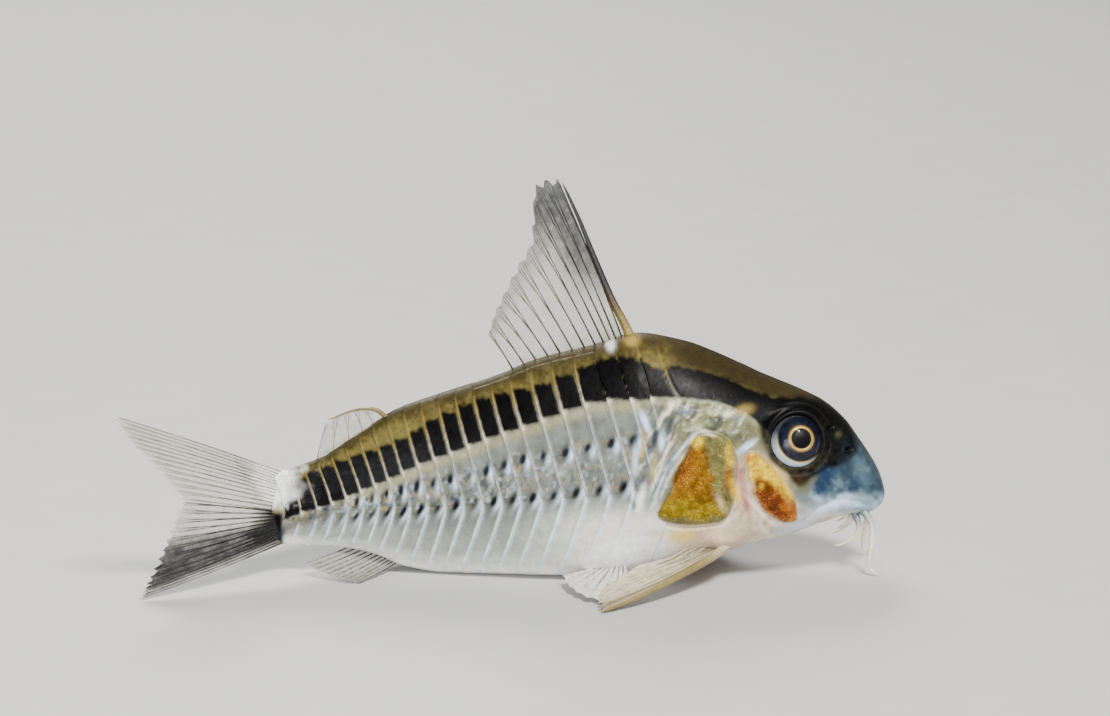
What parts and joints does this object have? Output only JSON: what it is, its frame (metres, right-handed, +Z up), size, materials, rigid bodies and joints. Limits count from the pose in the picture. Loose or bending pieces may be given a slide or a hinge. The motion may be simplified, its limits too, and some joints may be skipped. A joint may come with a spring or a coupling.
{
  "type": "corydoras catfish",
  "caption": "Life-size still model of an arched-stripe armoured catfish, lying on its belly with the tail turned to one side.",
  "frame": {"origin": "on the floor, in the middle of the flat of the belly that the fish rests on", "axes": "+X towards the snout along the front of the body, +Y to the fish's left, +Z up; the tail bends to the fish's right, towards -Y"},
  "size_m": [0.064, 0.0284, 0.0332],
  "materials": {
    "head_skin": "wet skin over bone, olive brown with a black stripe through the eye, gold and orange cheek, blue-grey snout",
    "body_skin": "overlapping pearly plates, a broken black stripe along the upper flank, cream-white belly",
    "gill_cover": "metallic gold and orange-brown bone, speckled",
    "eye": "glossy, black pupil in a thin pale gold ring, blue-black iris",
    "lips": "soft wet pale skin",
    "barbel": "soft wet ivory skin",
    "spine": "smooth amber bone",
    "fin": "thin clear web between cream and smoky rays"
  },
  "bodies": {
    "root": {"head": "head_skin", "gill_cover_right": "gill_cover", "gill_cover_left": "gill_cover", "eye_right": "eye", "eye_left": "eye", "lips": "lips", "barbel_rictal_outer_right": "barbel", "barbel_rictal_inner_right": "barbel", "barbel_mental_right": "barbel", "barbel_rictal_outer_left": "barbel", "barbel_rictal_inner_left": "barbel", "barbel_mental_left": "barbel", "trunk_front": "body_skin", "trunk_middle": "body_skin", "trunk_rear": "body_skin", "tail_stalk": "body_skin", "dorsal_spine": "spine", "dorsal_fin": "fin", "adipose_spine": "spine", "adipose_fin": "fin", "pectoral_spine_right": "spine", "pectoral_fin_right": "fin", "pelvic_fin_right": "fin", "pectoral_spine_left": "spine", "pectoral_fin_left": "fin", "pelvic_fin_left": "fin", "anal_fin": "fin", "tail_fin_upper": "fin", "tail_fin_lower": "fin"}
  },
  "joints": []
}
